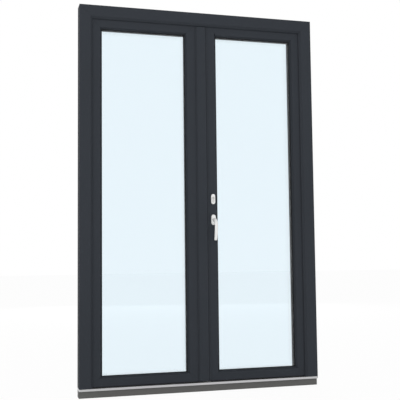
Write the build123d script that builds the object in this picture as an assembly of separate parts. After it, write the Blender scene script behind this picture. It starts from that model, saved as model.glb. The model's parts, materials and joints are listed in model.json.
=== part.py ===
from build123d import *
import os

# Two-leaf balcony door that opens inwards, seen from outside along +Y.
# X runs to the right, Y from outside to inside, Z up from the underside of the base profile.
# Depths are written from the frame's outer face inwards, and widths from the frame's outer edge.

# Overall
door_width = 1350.0
door_height = 2110.0
meeting_x = 9.0

# Base profile and threshold
base_height = 37.0
base_setback = 15.0
base_depth = 62.0
base_edge = 1.5
clip_groove_height = 8.0
clip_groove_depth = 4.0
threshold_height = 13.0
threshold_nose = 2.0
threshold_round = 4.0
tread_count = 4
tread_pitch = 7.0
tread_width = 3.0
tread_depth = 1.2
tread_margin = 10.0
drip_setback = 6.0
drip_width = 3.0
drip_depth = 2.0

# Frame section
frame_depth = 82.0
lip_width = 72.0
lip_depth = 15.0
lip_bevel_width = 12.0
lip_bevel_depth = 11.0
frame_body_width = 44.0

# Leaf section
leaf_recess = 20.0
leaf_depth = 82.0
airspace = 12.0
flange_overlap = 8.0
flange_depth = 15.0
flange_chamfer = 3.0
foot_gap = 5.0
sight_width = 126.0
sight_foot = 60.0
sight_centre = 93.5
nib_depth = 18.0
nib_bevel_width = 8.0
nib_bevel_depth = 12.0

# Glazing
gasket_show = 4.0
gasket_thickness = 3.0
rebate_cover = 18.0
pane_thickness = 4.0
pane_space = 16.0
pane_count = 3
pane_edge_gap = 4.0
spacer_height = 6.0
spacer_inset = 2.0
bead_depth = 13.0
bead_setback = 8.0
bead_chamfer = 6.0
bead_joint = 0.2

# Meeting of the two leaves
mullion_half = 33.0
mullion_proud = 12.0
mullion_bevel_width = 8.0
mullion_bevel_depth = 9.0
mullion_taper = 1.2
mullion_gap = 5.0
root_setback = 5.0
meeting_gap = 6.0
knee_depth = 60.0
mullion_knee_setback = 3.8
mullion_inner_setback = 5.2
stile_knee_setback = 3.2
stile_inner_setback = 5.0

# Seals
seal_clear = 0.3
seal_width = 6.0
seal_inset = 1.0
foot_seal_width = 8.0
fin_thickness = 3.0
fin_root = 3.0
fin_gap = 1.1
fin_offset = 0.5

# Hinges
hinge_foot = 187.0
hinge_top = 204.0
hinge_inset = 26.0
hinge_offset = 22.0
barrel_radius = 9.0
barrel_length = 50.0
barrel_chamfer = 1.0
barrel_gap = 0.4
pin_radius = 4.0
pin_clear = 0.08
pin_length = 42.0
hinge_plate = 3.0
hinge_plate_width = 22.0
hinge_plate_inset = 2.0
hinge_web = 6.0

# Handle and lock
handle_x = 72.0
handle_height = 940.0
rosette_width = 25.0
rosette_length = 58.0
rosette_thickness = 10.0
rosette_chamfer = 3.0
neck_radius = 9.0
neck_clear = 0.3
neck_start = 3.0
neck_seat = 4.0
spindle_size = 7.0
spindle_depth = 14.0
spindle_hole = 6.0
lever_reach = 59.0
lever_drop = 116.0
lever_width = 18.0
elbow_start = 26.0
elbow_lift = 21.0
grip_thickness = 11.0
grip_chamfer = 3.0
tip_thickness = 8.5
tip_back = 15.0
plate_rise = 116.0
plate_width = 23.0
plate_length = 57.0
plate_thickness = 6.0
plate_chamfer = 1.8
plug_rise = 5.0
plug_radius = 8.5
cylinder_drop = 24.5
cylinder_leg = 10.0
cylinder_proud = 1.0
cylinder_fit = 0.1
cylinder_clear = 0.5
key_slot_width = 2.0
key_slot_height = 9.0
key_slot_depth = 6.0

# Lock edge
faceplate_width = 20.0
faceplate_thickness = 2.5
faceplate_margin = 180.0
faceplate_depth = 62.0
faceplate_sink = 0.7
cam_foot = 277.0
cam_rise = 253.0
cam_top = 354.0
cam_radius = 3.2
cam_sink = 0.3
cam_slot_width = 7.0
cam_slot_length = 44.0
latch_rise = 63.0
latch_length = 34.0
latch_width = 14.0
latch_line = 1.0
striker_length = 90.0
striker_width = 22.0
striker_thickness = 2.4
striker_sink = 0.8
striker_mouth = 14.0
striker_pocket = 5.0
shoot_lever_length = 150.0
shoot_lever_width = 12.0
shoot_lever_thickness = 2.4

# Values worked out from the sizes above
half_width = door_width / 2
outside_face = -frame_depth / 2
threshold_top = base_height + threshold_height
leaf_face = leaf_recess
leaf_inside = leaf_recess + leaf_depth
leaf_edge = frame_body_width + airspace
flange_edge = frame_body_width - flange_overlap
flange_start = leaf_inside - flange_depth
leaf_foot = threshold_top + foot_gap
body_top = door_height - leaf_edge
leaf_top = door_height - flange_edge
nib_back = leaf_face + nib_depth
glass_face = nib_back + gasket_thickness
pane_pitch = pane_thickness + pane_space
glass_back = glass_face + pane_count * pane_pitch - pane_space
bead_start = glass_back + gasket_thickness
bead_back = bead_start + bead_depth
sight_bottom = threshold_top + sight_foot
sight_top = door_height - sight_width
sight_outer = half_width - sight_width
sight_left = meeting_x - sight_centre
sight_right = meeting_x + sight_centre
mullion_left = meeting_x - mullion_half
mullion_right = meeting_x + mullion_half
mullion_knee = mullion_right - mullion_knee_setback
mullion_inner = mullion_right - mullion_inner_setback
mullion_root = meeting_x - root_setback
stile_edge = mullion_right + meeting_gap
stile_knee = stile_edge + stile_knee_setback
stile_inner = stile_edge + stile_inner_setback
mullion_front = leaf_face - mullion_proud
fin_reach = stile_edge - fin_gap
axis_x = half_width - hinge_inset
axis_depth = frame_depth + hinge_offset
hinge_low = leaf_foot + hinge_foot
hinge_high = leaf_top - hinge_top
hinge_heights = (hinge_low, (hinge_low + hinge_high) / 2, hinge_high)
plate_height = handle_height + plate_rise
latch_height = handle_height + latch_rise
cam_heights = (leaf_foot + cam_foot, handle_height + cam_rise, leaf_top - cam_top)
shoot_lever_height = (cam_heights[1] + cam_heights[2]) / 2
elbow_drop = lever_reach - elbow_lift
faceplate_face = stile_knee + faceplate_sink
faceplate_back = faceplate_face + faceplate_thickness
striker_face = mullion_knee - striker_sink
striker_back = striker_face - striker_thickness
full_width = (-half_width, half_width)
full_height = (0.0, door_height)


def y_at(depth):
    return outside_face + depth


def about(middle, size):
    return (middle - size / 2, middle + size / 2)


def block(x_span, depth_span, z_span):
    size_x = x_span[1] - x_span[0]
    size_y = depth_span[1] - depth_span[0]
    size_z = z_span[1] - z_span[0]
    centre = (sum(x_span) / 2, y_at(sum(depth_span) / 2), sum(z_span) / 2)
    return Pos(*centre) * Box(size_x, size_y, size_z)


def upright(plan, z_span):
    # Bar along Z from a plan of (x, depth) points.
    points = [(x, y_at(depth)) for x, depth in plan]
    section = make_face(Polyline(*points, close=True))
    return extrude(Pos(0, 0, z_span[0]) * section, z_span[1] - z_span[0], dir=(0, 0, 1))


def level(section, x_span):
    # Bar along X from a section of (depth, z) points.
    points = [(y_at(depth), z) for depth, z in section]
    face = Plane.YZ * make_face(Polyline(*points, close=True))
    return extrude(Pos(x_span[0], 0, 0) * face, x_span[1] - x_span[0], dir=(1, 0, 0))


def flip(shape):
    return mirror(shape, about=Plane.YZ)


def to_inside(shape):
    middle = Plane(origin=(0, y_at((leaf_face + leaf_inside) / 2), 0), z_dir=(0, 1, 0))
    return mirror(shape, about=middle)


def grow(rect, by):
    # Rectangles in the door's plane are (x low, x high, z low, z high).
    return (rect[0] - by, rect[1] + by, rect[2] - by, rect[3] + by)


def ring(outer, inner, depth_span):
    body = block(outer[:2], depth_span, outer[2:])
    return body - block(inner[:2], depth_span, inner[2:])


def mitre(bar, corner, toward):
    # Keeps what lies on one side of a slanting cut through a corner (x, z).
    plane = Plane(origin=(corner[0], 0, corner[1]), x_dir=(0, 1, 0), z_dir=(toward[0], 0, toward[1]))
    return split(bar, bisect_by=plane, keep=Keep.TOP)


def mitred(inner, outer, bars, joint=0.0):
    # Cuts the bars around a rectangle from its corners to those of an outer one, a joint's width apart.
    edge = {"left": 0, "right": 1, "bottom": 2, "top": 3}
    cut = dict(bars)
    for stile in ("left", "right"):
        for rail in ("bottom", "top"):
            x, z = inner[edge[stile]], inner[edge[rail]]
            run, rise = outer[edge[stile]] - x, outer[edge[rail]] - z
            sense = 1 if run * rise > 0 else -1
            way = Vector(sense * rise, -sense * run, 0).normalized()
            for place, side in ((stile, way), (rail, -way)):
                corner = (x + side.X * joint / 2, z + side.Y * joint / 2)
                cut[place] = mitre(cut[place], corner, (side.X, side.Y))
    return cut


# Fixed frame

def frame_section():
    return [
        (0, 0), (lip_width - lip_bevel_width, 0), (lip_width, lip_bevel_depth), (lip_width, lip_depth),
        (frame_body_width, lip_depth), (frame_body_width, frame_depth), (0, frame_depth),
    ]


def left_jamb():
    plan = [(u - half_width, depth) for u, depth in frame_section()]
    bar = upright(plan, (threshold_top, door_height))
    return mitre(bar, (-half_width, door_height), (-1, -1))


def head():
    section = [(depth, door_height - u) for u, depth in frame_section()]
    bar = level(section, full_width)
    bar = mitre(bar, (-half_width, door_height), (1, 1))
    return mitre(bar, (half_width, door_height), (-1, 1))


def base_profile():
    # Hard-edged bar under the threshold, with the sill's clip groove along its inside.
    back = base_setback + base_depth
    bar = block(full_width, (base_setback, back), (0, base_height))
    front_edges = bar.edges().filter_by(Axis.X).group_by(Axis.Y)[0]
    bar = chamfer(front_edges, base_edge)
    groove_z = about(base_height / 2, clip_groove_height)
    return bar - block(full_width, (back - clip_groove_depth, back), groove_z)


def threshold():
    # Low strip with a rounded nose, a drip groove under the nose and ribs to step on.
    bar = block(full_width, (-threshold_nose, frame_depth), (base_height, threshold_top))
    front_edges = bar.edges().filter_by(Axis.X).group_by(Axis.Y)[0]
    bar = fillet(front_edges, threshold_round)
    drip = (drip_setback, drip_setback + drip_width)
    bar -= block(full_width, drip, (base_height, base_height + drip_depth))
    for number in range(tread_count):
        groove = about(frame_depth - tread_margin - number * tread_pitch, tread_width)
        bar -= block(full_width, groove, (threshold_top - tread_depth, threshold_top))
    return bar


def frame_gasket():
    # Soft strip behind the lip's edge, along the jambs and the head.
    depth_span = (lip_depth, leaf_face - seal_clear)
    inner = half_width - lip_width + seal_inset
    outer = inner + seal_width
    top = door_height - lip_width + seal_inset
    strip = block((-outer, outer), depth_span, (threshold_top, top + seal_width))
    return strip - block((-inner, inner), depth_span, (threshold_top, top))


# Bars of the leaves

def sight(side):
    # Visible glass of a leaf.
    if side == "left":
        return (-sight_outer, sight_left, sight_bottom, sight_top)
    return (sight_right, sight_outer, sight_bottom, sight_top)


def glass_side(edge):
    # Glass side of a bar's section, as (distance towards the glass, depth) points.
    nib = edge - gasket_show
    floor = edge - rebate_cover
    return [
        (nib - nib_bevel_width, leaf_face), (nib, leaf_face + nib_bevel_depth), (nib, nib_back),
        (floor, nib_back), (floor, leaf_inside),
    ]


def flanged_section():
    # Hinge stile and top rail, with the flange that laps the frame on the inside.
    section = [(leaf_edge, leaf_face)] + glass_side(sight_width)
    section += [(flange_edge + flange_chamfer, leaf_inside), (flange_edge, leaf_inside - flange_chamfer)]
    return section + [(flange_edge, flange_start), (leaf_edge, flange_start)]


def hinge_stile():
    plan = [(u - half_width, depth) for u, depth in flanged_section()]
    return upright(plan, (leaf_foot, leaf_top))


def top_rail():
    return level([(depth, door_height - u) for u, depth in flanged_section()], full_width)


def bottom_rail():
    section = [(leaf_foot, leaf_face)] + glass_side(sight_bottom) + [(leaf_foot, leaf_inside)]
    return level([(depth, z) for z, depth in section], full_width)


def meeting_edge(start):
    # Edge of the right leaf from the inside out to a depth; it recedes inwards to swing past the mullion.
    if start >= knee_depth:
        share = (start - knee_depth) / (leaf_inside - knee_depth)
        return [(stile_inner, leaf_inside), (stile_knee + share * (stile_inner - stile_knee), start)]
    return [(stile_inner, leaf_inside), (stile_knee, knee_depth), (stile_edge, start)]


def right_meeting_stile():
    return upright(meeting_edge(leaf_face) + glass_side(sight_right), (leaf_foot, leaf_top))


def left_meeting_stile():
    plan = [(mullion_root, leaf_inside), (mullion_root, leaf_face)]
    plan += [(-x, depth) for x, depth in glass_side(-sight_left)]
    return upright(plan, (leaf_foot, leaf_top))


def right_envelope():
    # Outline of the right leaf, its rim higher and wider on the inside where it laps the frame.
    outer = half_width - leaf_edge
    flange = half_width - flange_edge
    body = meeting_edge(leaf_face) + [(outer, leaf_face), (outer, leaf_inside)]
    rim = meeting_edge(flange_start) + [(flange, flange_start), (flange, leaf_inside)]
    return upright(body, (leaf_foot, body_top)) + upright(rim, (leaf_foot, leaf_top))


def left_envelope():
    outer = -half_width + leaf_edge
    flange = -half_width + flange_edge
    body = block((outer, mullion_root), (leaf_face, leaf_inside), (leaf_foot, body_top))
    return body + block((flange, mullion_root), (flange_start, leaf_inside), (leaf_foot, leaf_top))


def leaf_bars(side):
    # Four bars of a leaf, mitred from the corners of the glass to those of the leaf.
    bars = {"top": top_rail(), "bottom": bottom_rail()}
    names = {"top": "top_rail", "bottom": "bottom_rail"}
    if side == "left":
        envelope = left_envelope()
        outline = (-half_width + flange_edge, mullion_root, leaf_foot, leaf_top)
        bars.update({"left": hinge_stile(), "right": left_meeting_stile()})
        names.update({"left": "hinge_stile", "right": "meeting_stile"})
    else:
        envelope = right_envelope()
        outline = (stile_inner, half_width - flange_edge, leaf_foot, leaf_top)
        bars.update({"left": right_meeting_stile(), "right": flip(hinge_stile())})
        names.update({"left": "meeting_stile", "right": "hinge_stile"})
    trimmed = {place: bar & envelope for place, bar in bars.items()}
    cut = mitred(sight(side), outline, trimmed)
    return {f"{side}_{names[place]}": bar for place, bar in cut.items()}


# Glazing

def panes(side):
    edge = grow(sight(side), rebate_cover - pane_edge_gap)
    sheets = []
    for number in range(pane_count):
        start = glass_face + number * pane_pitch
        sheets.append(block(edge[:2], (start, start + pane_thickness), edge[2:]))
    return Compound(children=sheets)


def spacers(side):
    outer = grow(sight(side), rebate_cover - pane_edge_gap - spacer_inset)
    inner = grow(outer, -spacer_height)
    rings = []
    for number in range(pane_count - 1):
        start = glass_face + pane_thickness + number * pane_pitch
        rings.append(ring(outer, inner, (start, start + pane_space)))
    return Compound(children=rings)


def glazing_gaskets(side):
    inner = sight(side)
    outer = grow(inner, rebate_cover - pane_edge_gap)
    front = ring(outer, inner, (nib_back, glass_face))
    back = ring(outer, grow(inner, bead_setback), (glass_back, bead_start))
    return Compound(children=[front, back])


def beads(side):
    # Four mitred strips that hold the glass from the inside.
    section = [
        (bead_setback, bead_start), (rebate_cover, bead_start), (rebate_cover, bead_back),
        (bead_setback + bead_chamfer, bead_back), (bead_setback, bead_back - bead_chamfer),
    ]
    left, right, bottom, top = sight(side)
    reach = grow(sight(side), rebate_cover)
    strips = {
        "left": upright([(left - u, depth) for u, depth in section], reach[2:]),
        "right": upright([(right + u, depth) for u, depth in section], reach[2:]),
        "bottom": level([(depth, bottom - u) for u, depth in section], reach[:2]),
        "top": level([(depth, top + u) for u, depth in section], reach[:2]),
    }
    return Compound(children=list(mitred(sight(side), reach, strips, bead_joint).values()))


# Seals of the leaves

def leaf_gasket():
    # Seal under the flange of the left leaf, along its hinge side and top.
    depth_span = (frame_depth + seal_clear, flange_start)
    side_start = -half_width + flange_edge + seal_inset
    top = leaf_top - seal_inset
    strip = block((side_start, side_start + seal_width), depth_span, (leaf_foot, top))
    return strip + block((side_start, mullion_root), depth_span, (top - seal_width, top))


def right_leaf_gasket():
    mullion_side = block((-half_width, stile_inner), (0, leaf_inside), full_height)
    return flip(leaf_gasket()) - mullion_side


def foot_seal(x_span):
    depth_span = about((leaf_face + glass_face) / 2, foot_seal_width)
    return block(x_span, depth_span, (threshold_top + seal_clear, leaf_foot))


# Meeting parts on the left leaf

def fin_depths():
    start = leaf_face + fin_offset
    return (start, start + fin_thickness)


def meeting_seal():
    return block((mullion_right - fin_root, fin_reach), fin_depths(), (leaf_foot, body_top))


def striker_depths():
    return about(faceplate_depth, striker_width)


def striker_hole(height, x_span):
    return block(x_span, about(faceplate_depth, striker_mouth), about(height, cam_slot_length))


def striker_plates():
    plates = []
    for height in cam_heights:
        plate = block((striker_back, striker_face), striker_depths(), about(height, striker_length))
        plates.append(plate - striker_hole(height, (striker_back, striker_face)))
    return Compound(children=plates)


def shoot_bolt_lever():
    depths = about(faceplate_depth, shoot_lever_width)
    x_span = (striker_face - shoot_lever_thickness, striker_face)
    return block(x_span, depths, about(shoot_lever_height, shoot_lever_length))


def false_mullion():
    # Cover strip that stands proud outside and steps back inwards, with seats for the fittings.
    plan = [
        (mullion_right - mullion_taper - mullion_bevel_width, mullion_front),
        (mullion_right - mullion_taper, mullion_front + mullion_bevel_depth),
        (mullion_right, leaf_face), (mullion_knee, knee_depth), (mullion_inner, leaf_inside),
        (mullion_root, leaf_inside), (mullion_root, leaf_face),
        (mullion_left, leaf_face), (mullion_left, mullion_front + mullion_bevel_depth),
        (mullion_left + mullion_bevel_width, mullion_front),
    ]
    bar = upright(plan, (leaf_foot, leaf_top))
    under_lip = door_height - lip_width - mullion_gap
    bar -= block(full_width, (mullion_front, leaf_face), (under_lip, leaf_top))
    bar -= block(full_width, (leaf_face, flange_start), (body_top, leaf_top))
    bar -= block((mullion_right - fin_root, half_width), fin_depths(), (leaf_foot, leaf_top))
    for height in cam_heights:
        bar -= block((striker_back, half_width), striker_depths(), about(height, striker_length))
        bar -= striker_hole(height, (striker_back - striker_pocket, half_width))
    lever_seat = (striker_face - shoot_lever_thickness, half_width)
    lever_depths = about(faceplate_depth, shoot_lever_width)
    return bar - block(lever_seat, lever_depths, about(shoot_lever_height, shoot_lever_length))


# Lock edge of the right leaf

def faceplate_block(x_span):
    heights = (leaf_foot + faceplate_margin, leaf_top - faceplate_margin)
    return block(x_span, about(faceplate_depth, faceplate_width), heights)


def lock_faceplate():
    # Long steel strip with a slot for each cam and the outline of the latch that is drawn in.
    plate = faceplate_block((faceplate_face, faceplate_back))
    for height in cam_heights:
        slot_depths = about(faceplate_depth, cam_slot_width)
        plate -= block((faceplate_face, faceplate_back), slot_depths, about(height, cam_slot_length))
    latch = about(faceplate_depth, latch_width) + about(latch_height, latch_length)
    around = grow(latch, latch_line)
    line_x = (faceplate_face, faceplate_face + faceplate_thickness / 2)
    outline = block(line_x, around[:2], around[2:])
    return plate - (outline - block(line_x, latch[:2], latch[2:]))


def lock_cams():
    # Round locking cams that run in the slots of the faceplate.
    x_span = (faceplate_face + cam_sink, faceplate_back)
    middle = (sum(x_span) / 2, y_at(faceplate_depth))
    cam = Rot(0, 90, 0) * Cylinder(cam_radius, x_span[1] - x_span[0])
    return Compound(children=[Pos(*middle, height) * cam for height in cam_heights])


# Cylinder, plates and handle

def on_face(shape, height):
    return Pos(handle_x, y_at(leaf_face), height) * shape


def oval_plate(width, length, thickness, edge):
    # Upright oval that stands on the leaf's outer face, with its front edge broken.
    outline = Plane(origin=(0, 0, 0), x_dir=(0, 0, 1), z_dir=(0, -1, 0)) * SlotOverall(length, width)
    plate = extrude(outline, thickness, dir=(0, -1, 0))
    front = plate.faces().sort_by(Axis.Y)[0]
    return chamfer(front.edges(), edge)


def cylinder_outline(extra):
    leg_width = cylinder_leg + 2 * extra
    drop = cylinder_drop - cylinder_leg / 2
    outline = Circle(plug_radius + extra)
    outline += Pos(0, -drop / 2) * Rectangle(leg_width, drop)
    outline += Pos(0, -drop) * Circle(leg_width / 2)
    return outline


def cylinder_bar(extra, overhang):
    facing = Plane(origin=(0, 0, 0), x_dir=(1, 0, 0), z_dir=(0, -1, 0))
    bar = extrude(facing * cylinder_outline(extra), leaf_depth + 2 * overhang, dir=(0, 1, 0))
    return Pos(handle_x, y_at(leaf_face) - overhang, plate_height + plug_rise) * bar


def lock_cylinder():
    overhang = plate_thickness + cylinder_proud
    bar = cylinder_bar(0.0, overhang)
    slot_x = about(handle_x, key_slot_width)
    slot_z = about(plate_height + plug_rise, key_slot_height)
    for end in (leaf_face - overhang, leaf_inside + overhang):
        bar -= block(slot_x, about(end, 2 * key_slot_depth), slot_z)
    return bar


def outer_escutcheon():
    plate = oval_plate(plate_width, plate_length, plate_thickness, plate_chamfer)
    return on_face(plate, plate_height) - cylinder_bar(cylinder_fit, leaf_depth)


def outer_rosette():
    plate = oval_plate(rosette_width, rosette_length, rosette_thickness, rosette_chamfer)
    bore = Rot(90, 0, 0) * Cylinder(neck_radius + neck_clear, 2 * leaf_depth)
    return on_face(plate - bore, handle_height)


def handle_spindle():
    reach = neck_start + spindle_depth
    depths = (leaf_face - reach, leaf_inside + reach)
    return block(about(handle_x, spindle_size), depths, about(handle_height, spindle_size))


def lever_profile():
    # Side view of the bent grip, in arcs that run into each other; distances run out from the leaf.
    top_back = (elbow_start, neck_radius)
    low_back = (elbow_start, -neck_radius)
    outer_elbow = TangentArc(top_back, (lever_reach + grip_thickness / 2, -elbow_drop), tangent=(1, 0))
    inner_elbow = TangentArc(low_back, (lever_reach - grip_thickness / 2, -elbow_drop), tangent=(1, 0))
    tip = lever_reach - tip_back
    outer_grip = TangentArc(outer_elbow @ 1, (tip + tip_thickness / 2, -lever_drop), tangent=outer_elbow % 1)
    inner_grip = TangentArc(inner_elbow @ 1, (tip - tip_thickness / 2, -lever_drop), tangent=inner_elbow % 1)
    tip_edge = Line(outer_grip @ 1, inner_grip @ 1)
    back_edge = Line(low_back, top_back)
    return make_face([outer_elbow, outer_grip, tip_edge, inner_grip, inner_elbow, back_edge])


def outer_lever():
    # Round neck that carries a flat grip, bent down, bowed out and drawn back at its tip.
    side = Plane(origin=(0, 0, 0), x_dir=(0, -1, 0), z_dir=(-1, 0, 0))
    grip = extrude(side * lever_profile(), lever_width / 2, both=True)
    back = grip.faces().sort_by(Axis.Y)[-1]
    rims = [edge for edge in grip.edges() if edge not in back.edges()]
    grip = chamfer(rims, grip_chamfer)
    neck_span = (neck_start, elbow_start + neck_seat)
    neck = Rot(90, 0, 0) * Cylinder(neck_radius, neck_span[1] - neck_span[0])
    grip += Pos(0, -sum(neck_span) / 2, 0) * neck
    return on_face(grip, handle_height) - handle_spindle()


def drilled(stile):
    # Right meeting stile with the cut-outs for the spindle, the cylinder and the lock's edge.
    bore = Rot(90, 0, 0) * Cylinder(spindle_hole, 4 * leaf_depth)
    stile -= Pos(handle_x, 0, handle_height) * bore
    stile -= cylinder_bar(cylinder_clear, leaf_depth)
    return stile - faceplate_block((0.0, faceplate_back))


# Hinges of the left side; the right side mirrors them

def on_axis(radius, z_span):
    length = z_span[1] - z_span[0]
    return Pos(-axis_x, y_at(axis_depth), sum(z_span) / 2) * Cylinder(radius, length)


def barrel(z_span, end):
    # Knuckle with its outer end broken; end picks the lower or the upper rim.
    knuckle = on_axis(barrel_radius, z_span)
    rim = knuckle.edges().filter_by(GeomType.CIRCLE).sort_by(Axis.Z)[end]
    return chamfer(rim, barrel_chamfer)


def hinge_frame_parts():
    # Lower knuckles with their plates on the jamb and the pins that carry the leaf.
    parts = []
    for height in hinge_heights:
        low = (height - barrel_length, height)
        plate_x = (-axis_x - hinge_plate_width, -axis_x + hinge_web / 2)
        plate_depths = (frame_depth, frame_depth + hinge_plate)
        part = block(plate_x, plate_depths, about(height, 2 * barrel_length))
        part += block(about(-axis_x, hinge_web), (frame_depth, axis_depth), low)
        part += barrel(low, 0)
        part += on_axis(pin_radius, (height - barrel_length / 2, height + pin_length))
        parts.append(part)
    return Compound(children=parts)


def hinge_leaf_parts():
    # Upper knuckles with their straps on the leaf's inside face.
    parts = []
    for height in hinge_heights:
        high = (height + barrel_gap, height + barrel_length)
        strap_end = -half_width + flange_edge + hinge_plate_inset + hinge_plate_width
        part = block((-axis_x, strap_end), (leaf_inside, leaf_inside + hinge_plate), high)
        part += barrel(high, -1)
        part -= on_axis(pin_radius + pin_clear, (height, height + pin_length + barrel_gap))
        parts.append(part)
    return Compound(children=parts)


def frame_parts():
    return {
        "base_profile": base_profile(),
        "threshold": threshold(),
        "left_jamb": left_jamb(),
        "right_jamb": flip(left_jamb()),
        "head": head(),
        "frame_gasket": frame_gasket(),
        "left_hinge_frame_parts": hinge_frame_parts(),
        "right_hinge_frame_parts": flip(hinge_frame_parts()),
    }


def leaf_parts(side):
    nodes = leaf_bars(side)
    nodes[f"{side}_glass"] = panes(side)
    nodes[f"{side}_glass_spacers"] = spacers(side)
    nodes[f"{side}_glazing_gaskets"] = glazing_gaskets(side)
    nodes[f"{side}_glazing_beads"] = beads(side)
    return nodes


def left_leaf_parts():
    nodes = leaf_parts("left")
    nodes["left_leaf_gasket"] = leaf_gasket()
    nodes["left_foot_seal"] = foot_seal((-half_width + leaf_edge, mullion_root))
    nodes["left_hinge_leaf_parts"] = hinge_leaf_parts()
    nodes["false_mullion"] = false_mullion()
    nodes["striker_plates"] = striker_plates()
    nodes["shoot_bolt_lever"] = shoot_bolt_lever()
    nodes["meeting_seal"] = meeting_seal()
    return nodes


def right_leaf_parts():
    nodes = leaf_parts("right")
    nodes["right_meeting_stile"] = drilled(nodes["right_meeting_stile"])
    nodes["right_leaf_gasket"] = right_leaf_gasket()
    nodes["right_foot_seal"] = foot_seal((stile_knee, half_width - leaf_edge))
    nodes["right_hinge_leaf_parts"] = flip(hinge_leaf_parts())
    nodes["lock_faceplate"] = lock_faceplate()
    nodes["lock_cams"] = lock_cams()
    nodes["lock_cylinder"] = lock_cylinder()
    nodes["outer_escutcheon"] = outer_escutcheon()
    nodes["inner_escutcheon"] = to_inside(outer_escutcheon())
    nodes["outer_rosette"] = outer_rosette()
    nodes["inner_rosette"] = to_inside(outer_rosette())
    return nodes


def handle_parts():
    return {
        "outer_lever": outer_lever(),
        "inner_lever": to_inside(outer_lever()),
        "handle_spindle": handle_spindle(),
    }


os.makedirs("parts", exist_ok=True)
door = {**frame_parts(), **left_leaf_parts(), **right_leaf_parts(), **handle_parts()}
for node, shape in door.items():
    export_step(shape, f"parts/{node}.step")
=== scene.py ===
import json
import math

import bmesh
import bpy
from mathutils import Matrix, Vector


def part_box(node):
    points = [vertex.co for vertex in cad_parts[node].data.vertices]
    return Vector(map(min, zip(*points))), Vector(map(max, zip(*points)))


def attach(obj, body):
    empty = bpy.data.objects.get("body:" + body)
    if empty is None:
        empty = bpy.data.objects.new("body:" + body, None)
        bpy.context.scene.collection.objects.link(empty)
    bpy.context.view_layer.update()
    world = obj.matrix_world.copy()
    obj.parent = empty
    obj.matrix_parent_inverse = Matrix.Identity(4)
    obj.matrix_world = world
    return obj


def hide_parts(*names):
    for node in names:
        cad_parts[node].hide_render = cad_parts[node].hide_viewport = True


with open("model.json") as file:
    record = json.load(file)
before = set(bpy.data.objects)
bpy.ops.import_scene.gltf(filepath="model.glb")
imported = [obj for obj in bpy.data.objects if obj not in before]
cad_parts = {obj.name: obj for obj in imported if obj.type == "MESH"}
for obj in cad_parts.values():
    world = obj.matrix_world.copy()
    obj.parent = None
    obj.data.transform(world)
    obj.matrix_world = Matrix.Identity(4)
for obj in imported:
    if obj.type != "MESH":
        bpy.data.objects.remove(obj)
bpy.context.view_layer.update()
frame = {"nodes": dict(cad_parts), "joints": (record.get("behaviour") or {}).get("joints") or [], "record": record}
nodes = frame["nodes"]
joints = {joint["name"]: joint for joint in frame["joints"]}
slotOf = {part["node"]: part["material_slot"] for part in frame["record"]["subparts"]}
sides = ("left", "right")
print("frame loaded:", len(nodes), "nodes")

scene = bpy.context.scene
scene.view_settings.view_transform = "Standard"


# camera at the photograph's viewing angle
cameraSet = {
    "place": (-1.1251, -4.0579, 0.7339),
    "yaw": 15.518,  # degrees to the right of straight in
    "pitch": 4.321,  # degrees up
    "roll": -0.632,
    "lens": 67.782,
    "sensor": 36.0,
}


def placeCamera():
    yaw, pitch, roll = (math.radians(cameraSet[key]) for key in ("yaw", "pitch", "roll"))
    forward = Vector((math.sin(yaw) * math.cos(pitch), math.cos(yaw) * math.cos(pitch), math.sin(pitch)))
    right = Vector((math.cos(yaw), -math.sin(yaw), 0.0))
    up = right.cross(forward)
    rolledRight = right * math.cos(roll) + up * math.sin(roll)
    rolledUp = up * math.cos(roll) - right * math.sin(roll)
    turn = Matrix((rolledRight, rolledUp, -forward)).transposed()
    data = bpy.data.cameras.new("photoCamera")
    data.lens = cameraSet["lens"]
    data.sensor_width = cameraSet["sensor"]
    camera = bpy.data.objects.new("photoCamera", data)
    camera.matrix_world = Matrix.Translation(cameraSet["place"]) @ turn.to_4x4()
    scene.collection.objects.link(camera)
    scene.camera = camera


placeCamera()
print("camera placed")


# node tree helpers

def feed(tree, socket, value):
    if isinstance(value, bpy.types.NodeSocket):
        tree.links.new(value, socket)
    else:
        socket.default_value = value


def put(tree, kind, inputs=None, **settings):
    node = tree.nodes.new(kind)
    for key, value in settings.items():
        setattr(node, key, value)
    for key, value in (inputs or {}).items():
        feed(tree, node.inputs[key], value)
    return node


def calc(tree, operation, *values):
    return put(tree, "ShaderNodeMath", dict(enumerate(values)), operation=operation).outputs[0]


def vectorCalc(tree, operation, *values, result="Vector"):
    return put(tree, "ShaderNodeVectorMath", dict(enumerate(values)), operation=operation).outputs[result]


def remap(tree, value, fromLow, fromHigh, toLow, toHigh):
    inputs = {"Value": value, "From Min": fromLow, "From Max": fromHigh, "To Min": toLow, "To Max": toHigh}
    return put(tree, "ShaderNodeMapRange", inputs).outputs["Result"]


def noise(tree, vector, scale, detail=2.0, rough=0.5):
    inputs = {"Vector": vector, "Scale": scale, "Detail": detail, "Roughness": rough}
    return put(tree, "ShaderNodeTexNoise", inputs).outputs["Fac"]


def blend(tree, factor, first, second):
    node = put(tree, "ShaderNodeMix", data_type="RGBA")
    feed(tree, node.inputs[0], factor)
    feed(tree, node.inputs[6], first)  # sockets 6 and 7 are the colours
    feed(tree, node.inputs[7], second)
    return node.outputs[2]


def bump(tree, height, strength, depth):
    inputs = {"Height": height, "Strength": strength, "Distance": depth}
    return put(tree, "ShaderNodeBump", inputs).outputs["Normal"]


def newGroup(name, inputs, outputs):
    tree = bpy.data.node_groups.new(name, "ShaderNodeTree")
    for label, kind in inputs:
        tree.interface.new_socket(label, in_out="INPUT", socket_type="NodeSocket" + kind)
    for label, kind in outputs:
        tree.interface.new_socket(label, in_out="OUTPUT", socket_type="NodeSocket" + kind)
    return tree, tree.nodes.new("NodeGroupInput").outputs, tree.nodes.new("NodeGroupOutput").inputs


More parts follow.
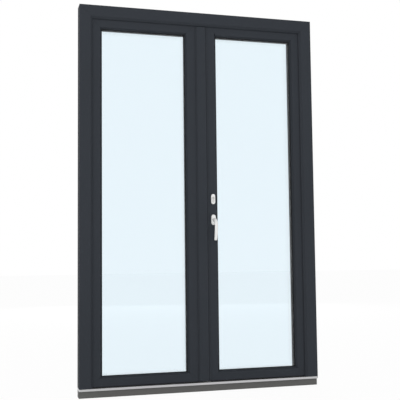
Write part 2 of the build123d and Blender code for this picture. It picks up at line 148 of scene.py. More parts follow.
def placeGroup(tree, group, inputs):
    node = put(tree, "ShaderNodeGroup", node_tree=group)
    for key, value in inputs.items():
        feed(tree, node.inputs[key], value)
    return node.outputs


def newMaterial(name):
    material = bpy.data.materials.new(name)
    material.use_nodes = True
    tree = material.node_tree
    tree.nodes.clear()
    return material, tree, put(tree, "ShaderNodeTexCoord").outputs["Object"]


def shade(tree, inputs):
    shader = put(tree, "ShaderNodeBsdfPrincipled", inputs)
    put(tree, "ShaderNodeOutputMaterial", {"Surface": shader.outputs["BSDF"]})


# studio: even sky, a soft lamp before and behind the door, pale floor
studioSet = {
    "skyLight": 0.60,  # what lights the object
    "white": 1.0,  # what the eye, reflections and glass see
    "lamps": {
        "frontLamp": {"place": (-1.6, -7.0, 2.2), "power": 225.0},
        "backLamp": {"place": (1.6, 7.0, 2.2), "power": 160.0},
    },
    "lampAim": (0.0, 0.0, 0.9),
    "lampSize": 4.0,
    "floorSize": 60.0,
    "floorColour": (0.97, 0.97, 0.97, 1.0),
    "floorGlow": 0.95,  # share of plain white in the floor as seen, the rest takes the shadow
}


def seenRays(tree):
    path = put(tree, "ShaderNodeLightPath").outputs
    seen = calc(tree, "MAXIMUM", path["Is Camera Ray"], path["Is Glossy Ray"])
    return calc(tree, "MAXIMUM", seen, path["Is Transmission Ray"])


def makeSky():
    world = bpy.data.worlds.new("studioSky")
    world.use_nodes = True
    tree = world.node_tree
    tree.nodes.clear()
    extra = studioSet["white"] - studioSet["skyLight"]
    strength = calc(tree, "MULTIPLY_ADD", seenRays(tree), extra, studioSet["skyLight"])
    sky = put(tree, "ShaderNodeBackground", {"Color": (1.0, 1.0, 1.0, 1.0), "Strength": strength})
    put(tree, "ShaderNodeOutputWorld", {"Surface": sky.outputs["Background"]})
    scene.world = world


def makeLamp(name, place, power):
    data = bpy.data.lights.new(name, "AREA")
    data.size = studioSet["lampSize"]
    data.energy = power
    lamp = bpy.data.objects.new(name, data)
    lamp.location = place
    lamp.visible_glossy = False  # no picture of the lamp in the panes
    lamp.visible_transmission = False
    way = Vector(studioSet["lampAim"]) - Vector(place)
    lamp.rotation_euler = way.to_track_quat("-Z", "Y").to_euler()
    scene.collection.objects.link(lamp)


def makeFloor():
    bm = bmesh.new()
    bmesh.ops.create_grid(bm, x_segments=1, y_segments=1, size=studioSet["floorSize"] / 2)
    mesh = bpy.data.meshes.new("studioFloor")
    bm.to_mesh(mesh)
    bm.free()
    material, tree, _ = newMaterial("paleFloor")
    matt = put(tree, "ShaderNodeBsdfDiffuse", {"Color": studioSet["floorColour"]})
    glow = put(tree, "ShaderNodeEmission", {"Strength": studioSet["white"]})
    share = calc(tree, "MULTIPLY", seenRays(tree), studioSet["floorGlow"])
    mixed = put(tree, "ShaderNodeMixShader", {0: share, 1: matt.outputs[0], 2: glow.outputs[0]})
    put(tree, "ShaderNodeOutputMaterial", {"Surface": mixed.outputs[0]})
    mesh.materials.append(material)
    floor = bpy.data.objects.new("studioFloor", mesh)
    scene.collection.objects.link(floor)


makeSky()
for name, lamp in studioSet["lamps"].items():
    makeLamp(name, lamp["place"], lamp["power"])
makeFloor()
print("studio lit")


# surface effects that several finishes share; noise lies mostly between these two values
noiseLow, noiseHigh = 0.3, 0.7


def spread(tree, value, toLow, toHigh):
    return remap(tree, value, noiseLow, noiseHigh, toLow, toHigh)


def stretchedNoise(tree, given, look):
    stretched = vectorCalc(tree, "MULTIPLY", given["Vector"], given["Stretch"])
    return noise(tree, stretched, 1.0, look["detail"], look["harsh"])


# matt and satin: highest and lowest roughness of a finish
grainSet = {
    "detail": 3.0, "harsh": 0.6,  # of the fibres
    "poreScale": 1100.0, "poreShare": 0.4,
    "driftScale": 1.6, "drift": 0.03,  # slow change of tone over the door
    "darkFibre": 0.94, "lightFibre": 1.04,
    "matt": 0.60, "satin": 0.46,
}


def makeFoilGrain():
    inputs = [("Vector", "Vector"), ("Stretch", "Vector"), ("Colour", "Color")]
    outputs = [("Colour", "Color"), ("Roughness", "Float"), ("Height", "Float")]
    tree, given, made = newGroup("foilGrain", inputs, outputs)
    fibres = stretchedNoise(tree, given, grainSet)
    pores = noise(tree, given["Vector"], grainSet["poreScale"], 1.0)
    drift = noise(tree, given["Vector"], grainSet["driftScale"])
    fibreTone = spread(tree, fibres, grainSet["darkFibre"], grainSet["lightFibre"])
    tone = calc(tree, "ADD", fibreTone, spread(tree, drift, -grainSet["drift"], grainSet["drift"]))
    feed(tree, made["Colour"], vectorCalc(tree, "MULTIPLY", given["Colour"], tone))
    feed(tree, made["Roughness"], spread(tree, fibres, grainSet["matt"], grainSet["satin"]))
    feed(tree, made["Height"], calc(tree, "MULTIPLY_ADD", pores, grainSet["poreShare"], fibres))
    return tree


def makeSeamLine():
    inputs = [("Vector", "Vector"), ("Corner", "Vector"), ("Way", "Vector"), ("Half Width", "Float")]
    tree, given, made = newGroup("seamLine", inputs, [("Mask", "Float")])
    apart = vectorCalc(tree, "SUBTRACT", given["Vector"], given["Corner"])
    flat = vectorCalc(tree, "MULTIPLY", apart, (1.0, 0.0, 1.0))
    along = vectorCalc(tree, "DOT_PRODUCT", flat, given["Way"], result="Value")
    rest = vectorCalc(tree, "SUBTRACT", flat, vectorCalc(tree, "MULTIPLY", given["Way"], along))
    across = vectorCalc(tree, "LENGTH", rest, result="Value")
    near = remap(tree, across, 0.0, given["Half Width"], 1.0, 0.0)
    feed(tree, made["Mask"], calc(tree, "MULTIPLY", near, calc(tree, "GREATER_THAN", along, 0.0)))
    return tree


drawnLineSet = {
    "detail": 4.0, "harsh": 0.65,  # of the lines
    "driftScale": 3.0, "driftShare": 0.5,
    "middle": 0.75,  # of lines and drift added
    "depth": 0.0002,
}


def makeDrawnLines():
    inputs = [("Vector", "Vector"), ("Stretch", "Vector"), ("Colour", "Color"), ("Contrast", "Float")]
    tree, given, made = newGroup("drawnLines", inputs, [("Colour", "Color"), ("Lines", "Float")])
    lines = stretchedNoise(tree, given, drawnLineSet)
    drift = noise(tree, given["Vector"], drawnLineSet["driftScale"])
    added = calc(tree, "MULTIPLY_ADD", drift, drawnLineSet["driftShare"], lines)
    mixed = calc(tree, "SUBTRACT", added, drawnLineSet["middle"])
    tone = calc(tree, "MULTIPLY_ADD", mixed, given["Contrast"], 1.0)
    feed(tree, made["Colour"], vectorCalc(tree, "MULTIPLY", given["Colour"], tone))
    feed(tree, made["Lines"], lines)
    return tree


peelSet = {
    "scale": 420.0, "strength": 0.05, "depth": 0.0002,
    "driftScale": 14.0, "darkest": 0.985,
    "matt": 0.38, "satin": 0.30,
}


def makeCoatPeel():
    inputs = [("Vector", "Vector"), ("Colour", "Color")]
    outputs = [("Colour", "Color"), ("Roughness", "Float"), ("Height", "Float")]
    tree, given, made = newGroup("coatPeel", inputs, outputs)
    peel = noise(tree, given["Vector"], peelSet["scale"], 1.0)
    drift = noise(tree, given["Vector"], peelSet["driftScale"])
    tone = spread(tree, drift, peelSet["darkest"], 1.0)
    feed(tree, made["Colour"], vectorCalc(tree, "MULTIPLY", given["Colour"], tone))
    feed(tree, made["Roughness"], spread(tree, drift, peelSet["satin"], peelSet["matt"]))
    feed(tree, made["Height"], peel)
    return tree


foilGrain = makeFoilGrain()
seamLine = makeSeamLine()
drawnLines = makeDrawnLines()
coatPeel = makeCoatPeel()
print("surface effects ready")


# grey foil of the profiles, with the welded mitres as hairlines
foilSet = {
    "colour": (0.0360, 0.0405, 0.0480, 1.0),
    "specular": 0.02,
    "along": 45.0,  # grain marks in a metre along the bar
    "across": 1500.0,
    "grainStrength": 0.12,
    "grainDepth": 0.0002,
    "seamHalf": 0.0006,
    "seamColour": (0.014, 0.016, 0.020, 1.0),
    "gasketCover": 0.014,  # glazing gasket hidden beyond the sight line
    "lipWidth": 0.072,  # frame face that shows outside
}
upright = Vector((foilSet["across"], foilSet["across"], foilSet["along"]))
level = Vector((foilSet["along"], foilSet["across"], foilSet["across"]))


def makeFoil(name, stretch, seams):
    material, tree, place = newMaterial(name)
    grain = placeGroup(tree, foilGrain, {"Vector": place, "Stretch": stretch, "Colour": foilSet["colour"]})
    colour, height = grain["Colour"], grain["Height"]
    for corner, way in seams:
        inputs = {"Vector": place, "Corner": corner, "Way": way, "Half Width": foilSet["seamHalf"]}
        seam = placeGroup(tree, seamLine, inputs)["Mask"]
        colour = blend(tree, seam, colour, foilSet["seamColour"])
        height = calc(tree, "SUBTRACT", height, seam)
    normal = bump(tree, height, foilSet["grainStrength"], foilSet["grainDepth"])
    shade(tree, {
        "Base Color": colour, "Roughness": grain["Roughness"], "Normal": normal,
        "Specular IOR Level": foilSet["specular"],
    })
    return material


def barBox(names):
    boxes = [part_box(name) for name in names]
    low = Vector(map(min, *(box[0] for box in boxes)))
    high = Vector(map(max, *(box[1] for box in boxes)))
    return low, high


def seamsBetween(innerLow, innerHigh, outerLow, outerHigh, atFoot):
    seams = []
    levels = [(innerHigh.z, outerHigh.z)]
    if atFoot:
        levels.append((innerLow.z, outerLow.z))
    for innerZ, outerZ in levels:
        for innerX, outerX in ((innerLow.x, outerLow.x), (innerHigh.x, outerHigh.x)):
            way = Vector((outerX - innerX, 0.0, outerZ - innerZ)).normalized()
            seams.append((Vector((innerX, 0.0, innerZ)), way))
    return seams


def sightBox(side):
    low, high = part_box(side + "_glazing_gaskets")
    cover = Vector((foilSet["gasketCover"], 0.0, foilSet["gasketCover"]))
    return low + cover, high - cover


def wear(name, material):
    nodes[name].data.materials.clear()
    nodes[name].data.materials.append(material)


def dressProfiles():
    frameLow, frameHigh = barBox(("left_jamb", "right_jamb", "head"))
    lip = Vector((foilSet["lipWidth"], 0.0, foilSet["lipWidth"]))
    seams = seamsBetween(frameLow + lip, frameHigh - lip, frameLow, frameHigh, False)
    jambFoil = makeFoil("jambFoil", upright, seams)
    wear("left_jamb", jambFoil)
    wear("right_jamb", jambFoil)
    wear("head", makeFoil("headFoil", level, seams))
    wear("false_mullion", makeFoil("mullionFoil", upright, []))
    for side in sides:
        stiles = [f"{side}_hinge_stile", f"{side}_meeting_stile"]
        rails = [f"{side}_top_rail", f"{side}_bottom_rail"]
        seams = seamsBetween(*sightBox(side), *barBox(rails), True)
        stileFoil = makeFoil(side + "StileFoil", upright, seams)
        railFoil = makeFoil(side + "RailFoil", level, seams)
        for name in stiles:
            wear(name, stileFoil)
        for name in rails:
            wear(name, railFoil)
        wear(side + "_glazing_beads", makeFoil(side + "BeadFoil", (upright + level) / 2, []))


dressProfiles()
print("profiles in grey foil")


# extruded pieces and plain metal: lines run along the drawn direction
drawnSet = {
    "threshold_metal": {
        "colour": (0.53, 0.53, 0.54, 1.0), "stretch": (6.0, 900.0, 900.0), "contrast": 0.25,
        "matt": 0.44, "satin": 0.30, "metallic": 1.0, "specular": 0.5, "lineStrength": 0.10,
    },
    "base_plastic": {
        "colour": (0.110, 0.110, 0.107, 1.0), "stretch": (5.0, 500.0, 500.0), "contrast": 0.30,
        "matt": 0.66, "satin": 0.54, "metallic": 0.0, "specular": 0.2, "lineStrength": 0.12,
    },
    "seal_rubber": {
        "colour": (0.021, 0.022, 0.024, 1.0), "stretch": (300.0, 300.0, 300.0), "contrast": 0.40,
        "matt": 0.82, "satin": 0.68, "metallic": 0.0, "specular": 0.2, "lineStrength": 0.08,
    },
    "grey_seal": {
        "colour": (0.0360, 0.0405, 0.0480, 1.0), "stretch": (300.0, 300.0, 300.0), "contrast": 0.30,
        "matt": 0.82, "satin": 0.68, "metallic": 0.0, "specular": 0.1, "lineStrength": 0.08,
    },
    "spacer": {
        "colour": (0.020, 0.020, 0.022, 1.0), "stretch": (260.0, 260.0, 260.0), "contrast": 0.30,
        "matt": 0.62, "satin": 0.50, "metallic": 0.0, "specular": 0.3, "lineStrength": 0.06,
    },
    "lock_steel": {
        "colour": (0.55, 0.55, 0.56, 1.0), "stretch": (1200.0, 1200.0, 20.0), "contrast": 0.30,
        "matt": 0.42, "satin": 0.28, "metallic": 1.0, "specular": 0.5, "lineStrength": 0.12,
        "paintedShadeColour": (0.045, 0.045, 0.045, 1.0),  # painted shade in the screws' sockets and round their rims
    },
}


def makeDrawn(slotName):
    look = drawnSet[slotName]
    material, tree, place = newMaterial(slotName + "Finish")
    inputs = {
        "Vector": place, "Stretch": look["stretch"], "Colour": look["colour"], "Contrast": look["contrast"],
    }
    drawn = placeGroup(tree, drawnLines, inputs)
    colour = drawn["Colour"]
    # painted shade: the screw heads' sockets and foot rings are darkened where shade falls
    if "paintedShadeColour" in look:
        paintedShade = put(tree, "ShaderNodeAttribute", attribute_name="paintedShade").outputs["Fac"]
        colour = blend(tree, paintedShade, colour, look["paintedShadeColour"])
    shade(tree, {
        "Base Color": colour,
        "Roughness": spread(tree, drawn["Lines"], look["matt"], look["satin"]),
        "Metallic": look["metallic"],
        "Specular IOR Level": look["specular"],
        "Normal": bump(tree, drawn["Lines"], look["lineStrength"], drawnLineSet["depth"]),
    })
    return material


# coated fittings: white outside and inside, grey hinges
coatSet = {
    "white_fitting": {"colour": (0.80, 0.80, 0.79, 1.0), "specular": 0.5},
    "hinge_coat": {"colour": (0.028, 0.033, 0.040, 1.0), "specular": 0.25},
}


def makeCoat(slotName):
    look = coatSet[slotName]
    material, tree, place = newMaterial(slotName + "Finish")
    coat = placeGroup(tree, coatPeel, {"Vector": place, "Colour": look["colour"]})
    shade(tree, {
        "Base Color": coat["Colour"], "Roughness": coat["Roughness"], "Specular IOR Level": look["specular"],
        "Normal": bump(tree, coat["Height"], peelSet["strength"], peelSet["depth"]),
    })
    return material


# panes with the faint blue of coated glass
paneSet = {
    "tint": (0.932, 0.971, 0.992, 1.0),
    "deepTint": (0.930, 0.970, 0.991, 1.0),
    "unevenScale": 2.0,
    "refraction": 1.45,
}


def makePane():
    material, tree, place = newMaterial("coatedPane")
    tint = blend(tree, noise(tree, place, paneSet["unevenScale"]), paneSet["tint"], paneSet["deepTint"])
    shade(tree, {
        "Base Color": tint, "Roughness": 0.0, "IOR": paneSet["refraction"], "Transmission Weight": 1.0,
    })
    return material


# nickel cylinder with the turning plug as a ring round the key slot
cylinderSet = {
    "colour": (0.64, 0.635, 0.62, 1.0),
    "ringColour": (0.40, 0.39, 0.37, 1.0),
    "bodyRadius": 0.0085,
    "plugRadius": 0.0064,
    "ringHalf": 0.0004,
    "ringStrength": 0.4,
    "ringDepth": 0.0002,
    "stretch": (500.0, 40.0, 500.0),
    "contrast": 0.30,
    "matt": 0.34,
    "satin": 0.22,
}


def makeCylinder():
    material, tree, place = newMaterial("cylinder_nickelFinish")
    low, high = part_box("lock_cylinder")
    centre = Vector(((low.x + high.x) / 2, 0.0, high.z - cylinderSet["bodyRadius"]))
    apart = vectorCalc(tree, "MULTIPLY", vectorCalc(tree, "SUBTRACT", place, centre), (1.0, 0.0, 1.0))
    radius = vectorCalc(tree, "LENGTH", apart, result="Value")
    off = calc(tree, "ABSOLUTE", calc(tree, "SUBTRACT", radius, cylinderSet["plugRadius"]))
    ring = remap(tree, off, 0.0, cylinderSet["ringHalf"], 1.0, 0.0)
    groove = calc(tree, "SUBTRACT", 1.0, ring)
    inputs = {
        "Vector": place, "Stretch": cylinderSet["stretch"], "Colour": cylinderSet["colour"],
        "Contrast": cylinderSet["contrast"],
    }
    drawn = placeGroup(tree, drawnLines, inputs)
    shade(tree, {
        "Base Color": blend(tree, ring, drawn["Colour"], cylinderSet["ringColour"]),
        "Roughness": spread(tree, drawn["Lines"], cylinderSet["matt"], cylinderSet["satin"]),
        "Metallic": 1.0,
        "Normal": bump(tree, groove, cylinderSet["ringStrength"], cylinderSet["ringDepth"]),
    })
    return material


finishes = {slotName: makeDrawn(slotName) for slotName in drawnSet}
finishes.update({slotName: makeCoat(slotName) for slotName in coatSet})
finishes["pane"] = makePane()
finishes["cylinder_nickel"] = makeCylinder()
for name, slotName in slotOf.items():
    if slotName in finishes:
        wear(name, finishes[slotName])
print("fittings, glass and seals finished")


# new pieces

def toMesh(name, bm, sharpAngle=35.0):
    bmesh.ops.recalc_face_normals(bm, faces=bm.faces)
    mesh = bpy.data.meshes.new(name)
    bm.to_mesh(mesh)
    bm.free()
    mesh.shade_smooth()
    mesh.set_sharp_from_angle(angle=math.radians(sharpAngle))
    return mesh


def addPiece(name, mesh, body, material):
    mesh.materials.append(material)
    piece = bpy.data.objects.new(name, mesh)
    scene.collection.objects.link(piece)
    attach(piece, body)
    return piece


def stampAll(name, shape, places, body, material):
    bm = bmesh.new()
    for point, facing in places:
        known = len(bm.verts)
        bm.from_mesh(shape)
        bm.verts.ensure_lookup_table()
        turn = Vector((0.0, 0.0, 1.0)).rotation_difference(Vector(facing)).to_matrix().to_4x4()
        bmesh.ops.transform(bm, matrix=Matrix.Translation(point) @ turn, verts=bm.verts[known:])
    return addPiece(name, toMesh(name, bm), body, material)


# lever: round neck, elbow, flat bowed grip with a rounded tip
leverSet = {
    "segments": 32,
    "neckStart": 0.003,  # from the leaf's face
    "neckRadius": 0.009,
    "elbowStart": 0.026,
    "elbowRadius": 0.033,
    "elbowTurn": 93.0,
    "elbowSteps": 9,
    "gripLength": 0.0785,
    "gripSteps": 10,
    "bowTurn": 16.0,
    "gripHalf": 0.0055,  # half thickness where the elbow ends
    "tipHalf": 0.0043,
    "tipWidth": 0.0084,  # half width at the tip
    "tipRound": 0.0045,
    "tipSteps": 5,
    "tipTurn": 82.0,  # stops short of the pole, which a face closes
}


def growRing(bm, edges, move, pivot, angle):
    made = bmesh.ops.extrude_edge_only(bm, edges=edges)["geom"]
    verts = [item for item in made if isinstance(item, bmesh.types.BMVert)]
    if angle:
        bmesh.ops.rotate(bm, cent=pivot, matrix=Matrix.Rotation(angle, 3, "X"), verts=verts)
    bmesh.ops.translate(bm, vec=move, verts=verts)
    return verts, [item for item in made if isinstance(item, bmesh.types.BMEdge)]


def squeeze(bm, verts, turned, widthBy, thicknessBy):
    centre = sum((vert.co for vert in verts), Vector()) / len(verts)
    space = (Matrix.Translation(centre) @ Matrix.Rotation(turned, 4, "X")).inverted()
    bmesh.ops.scale(bm, vec=(widthBy, 1.0, thicknessBy), space=space, verts=verts)


def leverShape():
    bm = bmesh.new()
    start = Matrix.Translation((0.0, -leverSet["neckStart"], 0.0))
    facing = start @ Matrix.Rotation(math.radians(90.0), 4, "X")
    bmesh.ops.create_circle(bm, segments=leverSet["segments"], radius=leverSet["neckRadius"], matrix=facing)
    first = list(bm.edges)
    stop = Vector((0.0, 0.0, 0.0))
    straight = Vector((0.0, leverSet["neckStart"] - leverSet["elbowStart"], 0.0))
    verts, edges = growRing(bm, first, straight, stop, 0.0)
    turned = 0.0
    steps = leverSet["elbowSteps"]
    step = math.radians(leverSet["elbowTurn"]) / steps
    pivot = Vector((0.0, -leverSet["elbowStart"], -leverSet["elbowRadius"]))
    thinner = (leverSet["gripHalf"] / leverSet["neckRadius"]) ** (1.0 / steps)
    for _ in range(steps):
        verts, edges = growRing(bm, edges, stop, pivot, step)
        turned += step
        squeeze(bm, verts, turned, 1.0, thinner)
    steps = leverSet["gripSteps"]
    step = math.radians(leverSet["bowTurn"]) / steps
    bowRadius = leverSet["gripLength"] / math.radians(leverSet["bowTurn"])
    centre = sum((vert.co for vert in verts), Vector()) / len(verts)
    pivot = centre - bowRadius * (Matrix.Rotation(turned, 3, "X") @ Vector((0.0, 0.0, 1.0)))
    thinner = (leverSet["tipHalf"] / leverSet["gripHalf"]) ** (1.0 / steps)
    narrower = (leverSet["tipWidth"] / leverSet["neckRadius"]) ** (1.0 / steps)
    for _ in range(steps):
        verts, edges = growRing(bm, edges, stop, pivot, step)
        turned += step
        squeeze(bm, verts, turned, narrower, thinner)
    ahead = Matrix.Rotation(turned, 3, "X") @ Vector((0.0, -1.0, 0.0))
    step = math.radians(leverSet["tipTurn"]) / leverSet["tipSteps"]
    for count in range(leverSet["tipSteps"]):
        before, after = step * count, step * (count + 1)
        move = ahead * leverSet["tipRound"] * (math.sin(after) - math.sin(before))
        verts, edges = growRing(bm, edges, move, stop, 0.0)
        smaller = math.cos(after) / math.cos(before)
        squeeze(bm, verts, turned, smaller, smaller)
    bmesh.ops.holes_fill(bm, edges=edges)
    bmesh.ops.holes_fill(bm, edges=first)
    return bm


def makeLever(name, node, faceY, facing):
    bm = leverShape()
    bmesh.ops.scale(bm, vec=(1.0, -facing, 1.0), verts=bm.verts)
    anchor = joints["handle_turn"]["pos_m"]
    bmesh.ops.translate(bm, vec=(anchor[0], faceY, anchor[2]), verts=bm.verts)
    lever = addPiece(name, toMesh(name, bm), "handle", finishes["white_fitting"])
    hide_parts(node)


leafLow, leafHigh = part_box("right_hinge_stile")
makeLever("outerLeverSmooth", "outer_lever", leafLow.y, -1.0)
makeLever("innerLeverSmooth", "inner_lever", leafHigh.y, 1.0)
print("levers bent")


# turned heads, caps and domes that the fittings carry
headSet = {
    "segments": 24,  # six lobes of four in the socket
    "radius": 0.0040,
    "crown": 0.0031,
    "rise": 0.0012,
    "socket": 0.0020,
    "lobe": 0.76,
    "socketDepth": 0.0008,
    "draft": 0.00008,  # slope of the socket's wall
    "rim": 0.0002,
    "sunk": 0.0007,  # of the rise, where a head is countersunk
}
capSet = {
    "segments": 28,
    "radius": 0.0065,
    "crown": 0.0060,
    "rise": 0.0016,
    "rim": 0.0005,
    "dish": 0.0035,
    "dishDepth": 0.0003,
    "draft": 0.0004,
}
domeSet = {"segments": 28, "rings": 13, "radius": 0.0076, "flatten": 0.42}  # odd rings leave the cut clear


def softenRim(bm, face, width):
    bmesh.ops.bevel(
        bm, geom=list(face.edges), offset=width, segments=2, profile=0.5, affect="EDGES", material=-1)


def topFace(bm):
    return max(bm.faces, key=lambda face: (round(face.calc_center_median().z, 6), face.calc_area()))


def bottomFace(bm):
    return min(bm.faces, key=lambda face: (round(face.calc_center_median().z, 6), -face.calc_area()))


def turnedHead(look, well):
    bm = bmesh.new()
    lift = Matrix.Translation((0.0, 0.0, look["rise"] / 2))
    bmesh.ops.create_cone(
        bm, cap_ends=True, segments=look["segments"], radius1=look["radius"], radius2=look["crown"],
        depth=look["rise"], matrix=lift)
    softenRim(bm, topFace(bm), look["rim"])
    crown = topFace(bm)
    bmesh.ops.inset_region(bm, faces=[crown], thickness=look["crown"] - well, use_even_offset=True)
    return bm, crown


def screwShape():
    bm, crown = turnedHead(headSet, headSet["socket"])
    valleys = [vert for count, vert in enumerate(crown.verts) if count % 4 < 2]  # half of each lobe's four
    bmesh.ops.scale(bm, vec=(headSet["lobe"], headSet["lobe"], 1.0), verts=valleys)
    bmesh.ops.inset_region(bm, faces=[crown], thickness=headSet["draft"], depth=-headSet["socketDepth"])
    # marks the socket floor and the head's foot ring, which the lock steel finish darkens with painted shade
    paintedShade = bm.verts.layers.float.new("paintedShade")
    for vert in bm.verts:
        vert[paintedShade] = float(vert in crown.verts or vert.co.z < headSet["rim"])
    return toMesh("screwHead", bm)


def capShape():
    bm, crown = turnedHead(capSet, capSet["dish"])
    bmesh.ops.inset_region(bm, faces=[crown], thickness=capSet["draft"], depth=-capSet["dishDepth"])
    return toMesh("coverCap", bm)


def domeShape():
    bm = bmesh.new()
    bmesh.ops.create_uvsphere(
        bm, u_segments=domeSet["segments"], v_segments=domeSet["rings"], radius=domeSet["radius"])
    everything = bm.verts[:] + bm.edges[:] + bm.faces[:]
    cut = bmesh.ops.bisect_plane(
        bm, geom=everything, plane_co=(0.0, 0.0, 0.0), plane_no=(0.0, 0.0, 1.0), clear_inner=True)
    rim = [item for item in cut["geom_cut"] if isinstance(item, bmesh.types.BMEdge)]
    bmesh.ops.holes_fill(bm, edges=rim)
    bmesh.ops.scale(bm, vec=(1.0, 1.0, domeSet["flatten"]), verts=bm.verts)
    return toMesh("hingeDome", bm)


screwHead = screwShape()
coverCap = capShape()
hingeDome = domeShape()
outward = {"left": Vector((-1.0, 0.0, 0.0)), "right": Vector((1.0, 0.0, 0.0))}
inside = Vector((0.0, 1.0, 0.0))  # the way the inside faces look
up = Vector((0.0, 0.0, 1.0))

# hinges: two screws in each plate, two in each strap, domed barrel ends
hingeSet = {
    "barrel": 0.050,  # half length
    "plate": 0.003,  # thickness of plates and straps
    "plateScrew": 0.0155,  # from the axis
    "plateRises": (-0.036, 0.036),
    "strapScrew": 0.022,
    "strapRises": (0.014, 0.038),
}


def dressHinges(side):
    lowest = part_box(side + "_hinge_frame_parts")[0].z
    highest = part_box(side + "_hinge_leaf_parts")[1].z
    axis = Vector(joints[side + "_leaf_swing"]["pos_m"])
    heights = (lowest + hingeSet["barrel"], axis.z, highest - hingeSet["barrel"])
    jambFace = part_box(side + "_jamb")[1].y + hingeSet["plate"]
    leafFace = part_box(side + "_hinge_stile")[1].y + hingeSet["plate"]
    plateX = axis.x + outward[side].x * hingeSet["plateScrew"]
    strapX = axis.x - outward[side].x * hingeSet["strapScrew"]
    plateScrews, strapScrews, lowDomes, highDomes = [], [], [], []
    for height in heights:
        for rise in hingeSet["plateRises"]:
            plateScrews.append((Vector((plateX, jambFace, height + rise)), inside))
        for rise in hingeSet["strapRises"]:
            strapScrews.append((Vector((strapX, leafFace, height + rise)), inside))
        lowDomes.append((Vector((axis.x, axis.y, height - hingeSet["barrel"])), -up))
        highDomes.append((Vector((axis.x, axis.y, height + hingeSet["barrel"])), up))
    leaf = side + "_leaf"
    steel, coat = finishes["lock_steel"], finishes["hinge_coat"]
    stampAll(side + "HingePlateScrews", screwHead, plateScrews, "frame", steel)
    stampAll(side + "HingeStrapScrews", screwHead, strapScrews, leaf, steel)
    stampAll(side + "HingeLowDomes", hingeDome, lowDomes, "frame", coat)
    stampAll(side + "HingeHighDomes", hingeDome, highDomes, leaf, coat)


for side in sides:
    dressHinges(side)
print("hinges screwed on")

# corner infills: the bars' mitres and the beads' corners leave a wedge open between them
infillSet = {"beadCover": 0.018, "sunk": 0.0001, "depth": 0.012, "overlap": 0.0004, "smallest": 0.0005}


def cornerWedge(sight, bead, bar):
    slope = (bar.z - sight.z) / (bar.x - sight.x)
    along = Vector((sight.x + (bead.z - sight.z) / slope, 0.0, bead.z))
    upward = Vector((bead.x, 0.0, sight.z + (bead.x - sight.x) * slope))
    return [Vector((bead.x, 0.0, bead.z)), along, upward]


def fillCorners(side):
    beadLow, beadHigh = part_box(side + "_glazing_beads")
    barLow, barHigh = barBox([side + "_top_rail", side + "_bottom_rail"])
    cover = infillSet["beadCover"]
    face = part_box(side + "_hinge_stile")[1].y - infillSet["sunk"]
    bm = bmesh.new()
    for beadX, barX, wayX in ((beadLow.x, barLow.x, 1.0), (beadHigh.x, barHigh.x, -1.0)):
        for beadZ, barZ, wayZ in ((beadLow.z, barLow.z, 1.0), (beadHigh.z, barHigh.z, -1.0)):
            sight = Vector((beadX + wayX * cover, 0.0, beadZ + wayZ * cover))
            wedge = cornerWedge(sight, Vector((beadX, 0.0, beadZ)), Vector((barX, 0.0, barZ)))
            if (wedge[1] - wedge[0]).length < infillSet["smallest"]:
                continue
            middle = sum(wedge, Vector()) / 3
            points = [corner + (corner - middle).normalized() * infillSet["overlap"] for corner in wedge]
            verts = [bm.verts.new((point.x, face, point.z)) for point in points]
            made = bmesh.ops.extrude_face_region(bm, geom=[bm.faces.new(verts)])["geom"]
            moved = [item for item in made if isinstance(item, bmesh.types.BMVert)]
            bmesh.ops.translate(bm, vec=(0.0, -infillSet["depth"], 0.0), verts=moved)
    name = side + "CornerInfills"
    foil = makeFoil(side + "InfillFoil", upright, [])
    addPiece(name, toMesh(name, bm), side + "_leaf", foil)


for side in sides:
    fillCorners(side)
print("mitre corners closed")

# lock edge: countersunk screws along the faceplate and in the strikers
edgeSet = {
    "faceplateScrews": (0.250, 0.420, 0.600, 0.780, 0.900, 1.041, 1.110, 1.300, 1.480, 1.630, 1.800, 1.880),
    "strikerHalf": 0.045,  # half length of a striker
    "strikerReach": 0.0335,  # from its middle to a screw
    "rivetReach": 0.065,
}


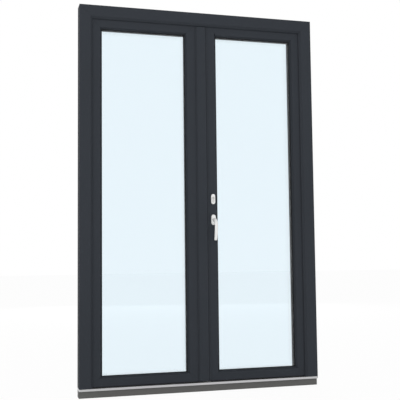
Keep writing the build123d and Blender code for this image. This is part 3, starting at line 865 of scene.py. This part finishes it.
def dressLockEdge():
    plateLow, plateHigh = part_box("lock_faceplate")
    middle = (plateLow.y + plateHigh.y) / 2
    face = plateLow.x + headSet["sunk"]
    places = [(Vector((face, middle, height)), outward["left"]) for height in edgeSet["faceplateScrews"]]
    stampAll("faceplateScrews", screwHead, places, "right_leaf", finishes["lock_steel"])
    strikerLow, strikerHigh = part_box("striker_plates")
    face = strikerHigh.x - headSet["sunk"]
    leverLow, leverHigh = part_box("shoot_bolt_lever")
    leverMiddle = (leverLow.z + leverHigh.z) / 2
    lowStriker = strikerLow.z + edgeSet["strikerHalf"]
    highStriker = strikerHigh.z - edgeSet["strikerHalf"]
    middleStriker = 2 * leverMiddle - highStriker  # the shoot lever lies midway between the upper two
    places = []
    for height in (lowStriker, middleStriker, highStriker):
        for rise in (-edgeSet["strikerReach"], edgeSet["strikerReach"]):
            places.append((Vector((face, middle, height + rise)), outward["right"]))
    places.append((Vector((face, middle, leverMiddle - edgeSet["rivetReach"])), outward["right"]))
    stampAll("strikerScrews", screwHead, places, "left_leaf", finishes["lock_steel"])


dressLockEdge()
print("lock edge screwed on")

# fixings of the frame: screws in the threshold, cover caps in the rebate
fixingSet = {
    "thresholdX": (-0.600, -0.300, -0.060, 0.300, 0.600),
    "thresholdY": 0.001,
    "jambHeights": (0.200, 0.700, 1.300, 1.800),
    "headX": (-0.320, 0.320),
    "bodyWidth": 0.044,  # from the frame's outer edge to the rebate
    "capY": 0.010,
}


def dressFixings():
    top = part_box("threshold")[1].z - headSet["sunk"]
    places = [(Vector((x, fixingSet["thresholdY"], top)), up) for x in fixingSet["thresholdX"]]
    stampAll("thresholdScrews", screwHead, places, "frame", finishes["lock_steel"])
    places = []
    for side in sides:
        edge = outward[side].x * (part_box("head")[1].x - fixingSet["bodyWidth"])
        for height in fixingSet["jambHeights"]:
            places.append((Vector((edge, fixingSet["capY"], height)), -outward[side]))
    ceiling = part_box("head")[1].z - fixingSet["bodyWidth"]
    places += [(Vector((x, fixingSet["capY"], ceiling)), -up) for x in fixingSet["headX"]]
    stampAll("fixingCaps", coverCap, places, "frame", makeFoil("capFoil", upright, []))


dressFixings()
print("frame fixings capped")

# soft nose that closes the slit between the cover strip's fin and the right leaf
noseSet = {"radius": 0.0012, "thicken": 1.2, "segments": 20, "round": 0.0004}


def makeNose():
    low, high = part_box("meeting_seal")
    bm = bmesh.new()
    bmesh.ops.create_cone(
        bm, cap_ends=True, segments=noseSet["segments"], radius1=noseSet["radius"], radius2=noseSet["radius"],
        depth=high.z - low.z)
    for end in (bottomFace(bm), topFace(bm)):
        softenRim(bm, end, noseSet["round"])
    bmesh.ops.scale(bm, vec=(1.0, noseSet["thicken"], 1.0), verts=bm.verts)
    bmesh.ops.translate(bm, vec=(high.x, (low.y + high.y) / 2, (low.z + high.z) / 2), verts=bm.verts)
    mesh = toMesh("meetingSealNose", bm)
    addPiece("meetingSealNose", mesh, "left_leaf", finishes["grey_seal"])


makeNose()
print("meeting seal closed")
